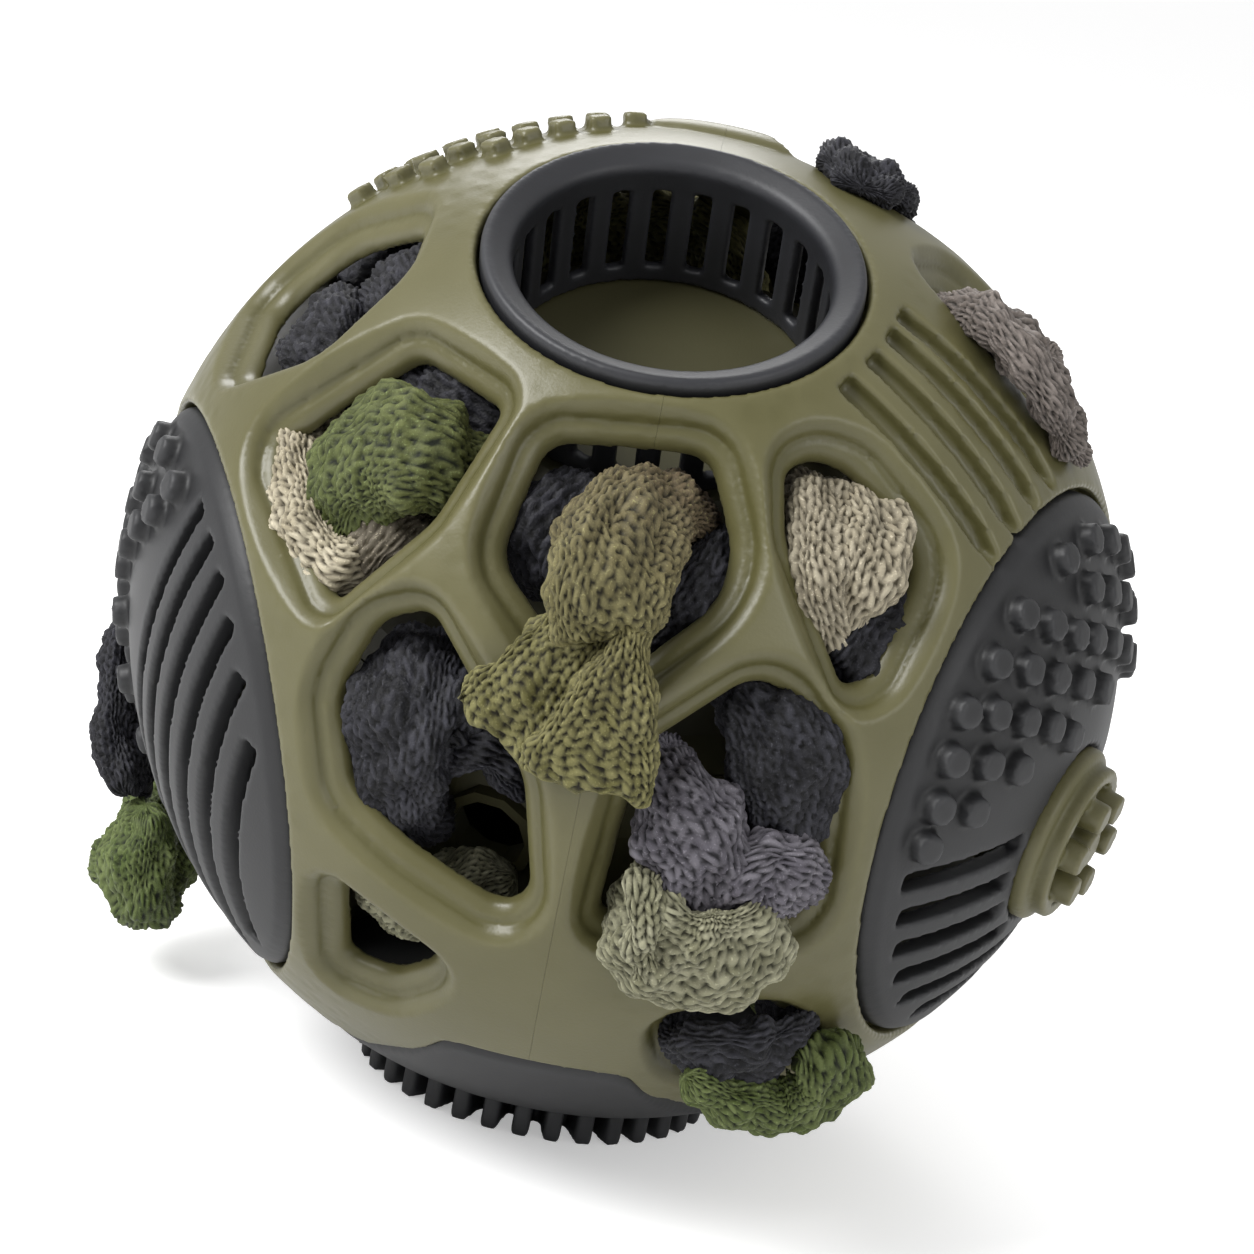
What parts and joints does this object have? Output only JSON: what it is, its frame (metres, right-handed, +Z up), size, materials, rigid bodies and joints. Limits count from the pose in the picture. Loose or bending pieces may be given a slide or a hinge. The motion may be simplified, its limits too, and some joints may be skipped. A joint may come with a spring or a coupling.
{
  "type": "snuffle puzzle ball",
  "caption": "Windowed rubber ball round a hollow treat core, with a lift-out slotted treat collar, studded side discs, turning hub knobs, a toothed foot and knotted cloth strips.",
  "frame": {"origin": "middle of the flat pad under the foot plate, on the standing surface", "axes": "+Z up through the foot and the ball's middle; -Y is the front, where the treat collar leans; +X is the right-hand side seen from the front"},
  "size_m": [0.1616, 0.1608, 0.154],
  "materials": {
    "olive": "satin moulded rubber",
    "core_olive": "satin moulded rubber",
    "dark_grey": "satin moulded rubber",
    "charcoal": "knitted cloth",
    "lilac_grey": "knitted cloth",
    "sage": "knitted cloth",
    "cream": "knitted cloth",
    "olive_cloth": "knitted cloth",
    "moss": "knitted cloth",
    "taupe": "knitted cloth"
  },
  "bodies": {
    "ball": {"cloth_beige_knot": "cream", "cloth_charcoal_behind_moss": "charcoal", "cloth_charcoal_crumple_left": "charcoal", "cloth_charcoal_crumple_right": "charcoal", "cloth_charcoal_fold_left": "charcoal", "cloth_charcoal_fold_right": "charcoal", "cloth_charcoal_front_left": "charcoal", "cloth_charcoal_front_right": "charcoal", "cloth_charcoal_hanging": "charcoal", "cloth_charcoal_lower": "charcoal", "cloth_charcoal_lump": "charcoal", "cloth_charcoal_rear_fold": "charcoal", "cloth_charcoal_strip": "charcoal", "cloth_charcoal_under_beige": "charcoal", "cloth_cream_loop": "cream", "cloth_lilac_knot": "lilac_grey", "cloth_moss_band": "moss", "cloth_moss_hanging": "moss", "cloth_moss_lower": "moss", "cloth_olive_knot": "olive_cloth", "cloth_olive_rear_fold": "olive_cloth", "cloth_sage_lump": "sage", "cloth_sage_rear_fold": "sage", "cloth_sage_wrap": "sage", "cloth_taupe_rear_knot": "taupe", "cloth_taupe_strip": "taupe", "core_lower": "core_olive", "core_upper": "core_olive", "foot_plate": "dark_grey", "shell_left": "olive", "shell_right": "olive", "side_disc_left": "dark_grey", "side_disc_rear": "dark_grey", "side_disc_right": "dark_grey"},
    "collar": {"treat_collar": "dark_grey"},
    "knob_right": {"hub_knob_right": "olive"},
    "knob_rear": {"hub_knob_rear": "olive"}
  },
  "joints": [
    {"name": "collar_lift", "type": "slide", "parent": "ball", "child": "collar", "axis": [0, -0.5, 0.866], "range_m": [0, 0.045]},
    {"name": "knob_right_turn", "type": "hinge", "parent": "ball", "child": "knob_right", "pos_m": [0, 0, 0.0742], "axis": [0.9455, -0.2927, -0.1426], "continuous": true},
    {"name": "knob_rear_turn", "type": "hinge", "parent": "ball", "child": "knob_rear", "pos_m": [0, 0, 0.0742], "axis": [-0.0782, 0.9931, -0.0872], "continuous": true}
  ]
}
